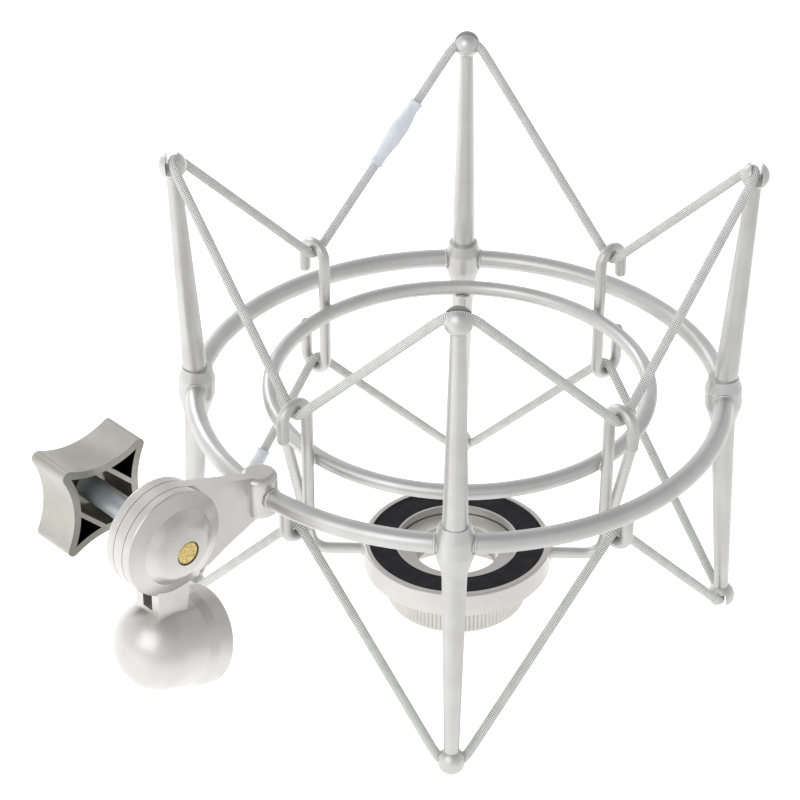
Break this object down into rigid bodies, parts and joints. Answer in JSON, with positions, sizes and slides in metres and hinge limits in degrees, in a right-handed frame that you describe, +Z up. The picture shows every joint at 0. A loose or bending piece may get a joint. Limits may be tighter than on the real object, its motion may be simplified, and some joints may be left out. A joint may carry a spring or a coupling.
{
  "type": "microphone suspension mount",
  "caption": "Elastic cord suspension mount for a side-address microphone, with a threaded base nut and a swivelling stand adaptor with a clamp knob.",
  "frame": {"origin": "centre of the outer ring, in the plane of its tube", "axes": "+Z up along the rings' shared axis, +Y towards the back post, +X towards the right post"},
  "size_m": [0.1695, 0.1507, 0.1284],
  "materials": {
    "satin_nickel_paint": "satin",
    "plain_nickel": "satin",
    "knob_paint": "satin",
    "steel": "satin",
    "brass": "satin",
    "black_foam_rubber": "matt",
    "braided_elastic": "woven",
    "white_shrink_sleeve": "satin"
  },
  "bodies": {
    "frame": {"outer_ring": "satin_nickel_paint", "swivel_bracket": "satin_nickel_paint", "upper_post_right": "satin_nickel_paint", "upper_post_back": "satin_nickel_paint", "upper_post_left": "satin_nickel_paint", "upper_post_front": "satin_nickel_paint", "lower_post_right": "satin_nickel_paint", "lower_post_back": "satin_nickel_paint", "lower_post_left": "satin_nickel_paint", "lower_post_front": "satin_nickel_paint", "upper_cord": "braided_elastic", "lower_cord": "braided_elastic", "upper_cord_sleeve": "white_shrink_sleeve", "lower_cord_sleeve": "white_shrink_sleeve"},
    "basket": {"inner_ring": "satin_nickel_paint", "hook_back_right": "satin_nickel_paint", "hook_back_left": "satin_nickel_paint", "hook_front_left": "satin_nickel_paint", "hook_front_right": "satin_nickel_paint", "arm_right": "satin_nickel_paint", "arm_back": "satin_nickel_paint", "arm_left": "satin_nickel_paint", "arm_front": "satin_nickel_paint", "base_cup": "satin_nickel_paint", "base_pad": "black_foam_rubber"},
    "nut": {"thread_sleeve": "plain_nickel", "knurled_grip": "satin_nickel_paint"},
    "adaptor": {"stand_adaptor": "satin_nickel_paint", "bolt_insert": "brass"},
    "knob": {"clamp_knob": "knob_paint", "clamp_bolt": "steel"}
  },
  "joints": [
    {"name": "basket_float", "type": "slide", "parent": "frame", "child": "basket", "axis": [0, 0, 1], "range_m": [-0.005, 0.005], "stiffness_N_per_m": 900, "springref_m": 0.00147, "deforming": ["upper_cord", "upper_cord_sleeve", "lower_cord", "lower_cord_sleeve"]},
    {"name": "nut_turn", "type": "hinge", "parent": "basket", "child": "nut", "pos_m": [0, 0, -0.055], "axis": [0, 0, 1], "continuous": true},
    {"name": "adaptor_tilt", "type": "hinge", "parent": "frame", "child": "adaptor", "pos_m": [-0.06611, -0.06611, 0.001], "axis": [0.7071, -0.7071, 0], "range_deg": [-145, 25]},
    {"name": "knob_turn", "type": "hinge", "parent": "adaptor", "child": "knob", "pos_m": [-0.06611, -0.06611, 0.001], "axis": [0.7071, -0.7071, 0], "range_deg": [-540, 90]}
  ]
}
